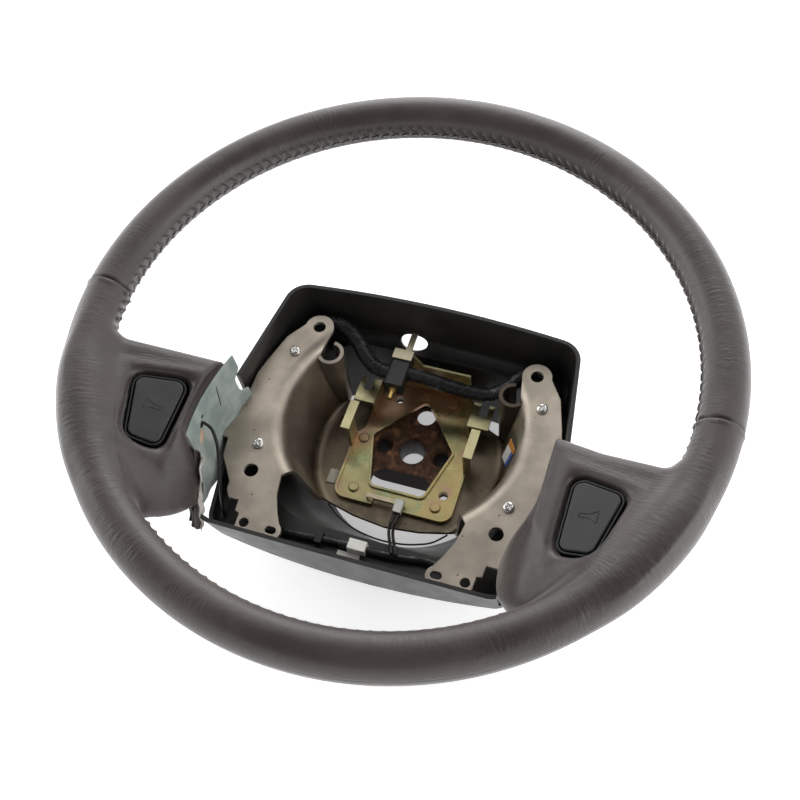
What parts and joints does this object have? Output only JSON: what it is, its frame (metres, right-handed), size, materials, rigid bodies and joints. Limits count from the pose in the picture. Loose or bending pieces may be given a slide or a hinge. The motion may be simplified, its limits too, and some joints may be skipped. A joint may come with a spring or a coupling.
{
  "type": "car steering wheel",
  "caption": "Leather-covered car steering wheel with broad side spokes and horn buttons, shown with the centre module out so its pressed frame, hub and wiring show.",
  "frame": {"origin": "on the axis of the splined hub bore, at the hub's seat face", "axes": "+Z along the steering shaft towards the driver, +Y to twelve o'clock, +X to the right spoke"},
  "size_m": [0.39, 0.39, 0.1552],
  "materials": {
    "leather": "satin, warm dark grey, worn",
    "foam": "matt moulded foam",
    "flap": "pale grey-green backing sheet",
    "button": "satin",
    "switch": "matt",
    "dome": "matt",
    "ring_steel": "bare",
    "frame_steel": "satin plated, dulled and stained",
    "hub": "rusted",
    "zinc": "yellow passivated zinc",
    "screw": "bright plated",
    "cover": "satin black",
    "bracket": "pale zinc",
    "block": "satin black",
    "brass": "dulled",
    "tape": "taped bundle",
    "lead": "smooth insulation",
    "white_plastic": "satin",
    "cream": "satin",
    "paper": "matt",
    "fibre": "matt"
  },
  "bodies": {
    "wheel": {"rim_armature": "ring_steel", "rim_foam": "foam", "upper_leather": "leather", "lower_leather": "leather", "end_flap_right": "flap", "end_flap_left": "flap", "horn_switch_right": "switch", "horn_switch_left": "switch", "horn_dome_right": "dome", "horn_dome_left": "dome", "horn_contact_right": "brass", "horn_contact_left": "brass", "spoke_frame": "frame_steel", "hub_boss": "hub", "hub_flange": "hub", "contact_plate": "zinc", "plate_rivets": "zinc", "ear_screws": "screw", "back_cover": "cover", "block_bracket": "bracket", "plug_block": "block", "brass_terminal": "brass", "upper_harness_left": "tape", "upper_harness_right": "tape", "earth_blade": "cream", "white_plug": "white_plastic", "plug_leads": "lead", "lower_harness_left": "tape", "lower_harness_right": "tape", "harness_plug": "white_plastic", "harness_clip": "block", "harness_tag": "paper", "fibre_tab": "fibre", "right_label": "paper", "horn_lead": "lead", "front_wire": "lead"},
    "button_right": {"horn_button_right": "button"},
    "button_left": {"horn_button_left": "button"}
  },
  "joints": [
    {"name": "horn_press_right", "type": "slide", "parent": "wheel", "child": "button_right", "axis": [0.279, 0, -0.9603], "range_m": [0, 0.002], "stiffness_N_per_m": 2500, "deforming": ["horn_dome_right"]},
    {"name": "horn_press_left", "type": "slide", "parent": "wheel", "child": "button_left", "axis": [-0.279, 0, -0.9603], "range_m": [0, 0.002], "stiffness_N_per_m": 2500, "deforming": ["horn_dome_left"]}
  ]
}
